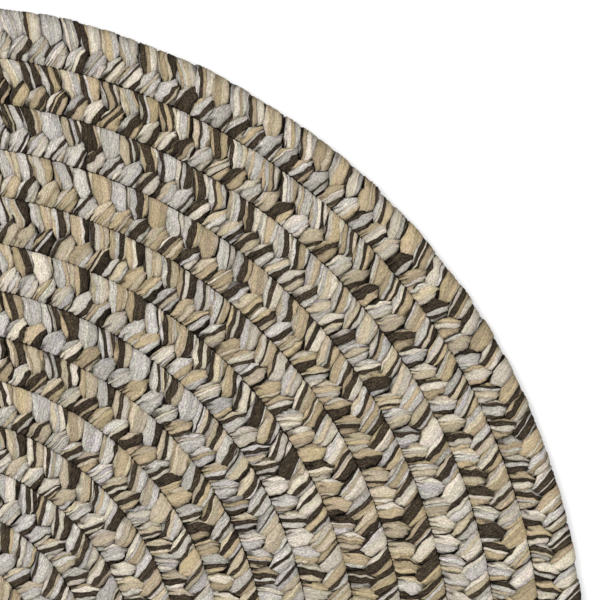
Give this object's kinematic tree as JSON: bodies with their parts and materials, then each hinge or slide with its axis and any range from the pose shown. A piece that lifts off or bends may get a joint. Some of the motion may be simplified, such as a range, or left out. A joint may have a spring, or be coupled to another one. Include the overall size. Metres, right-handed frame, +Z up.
{
  "type": "braided rug",
  "caption": "Round flat braided rug: one long plait of soft tweed yarn coiled from the middle and laced row to row.",
  "frame": {"origin": "on the floor, under the middle of the rug's outline", "axes": "+Z up, out of the rug's good side; +X and +Y along the floor, to the right and to the top of the picture"},
  "size_m": [0.9056, 0.9206, 0.012],
  "materials": {
    "braid": "matte"
  },
  "bodies": {
    "root": {"braided_rug": "braid"}
  },
  "joints": []
}
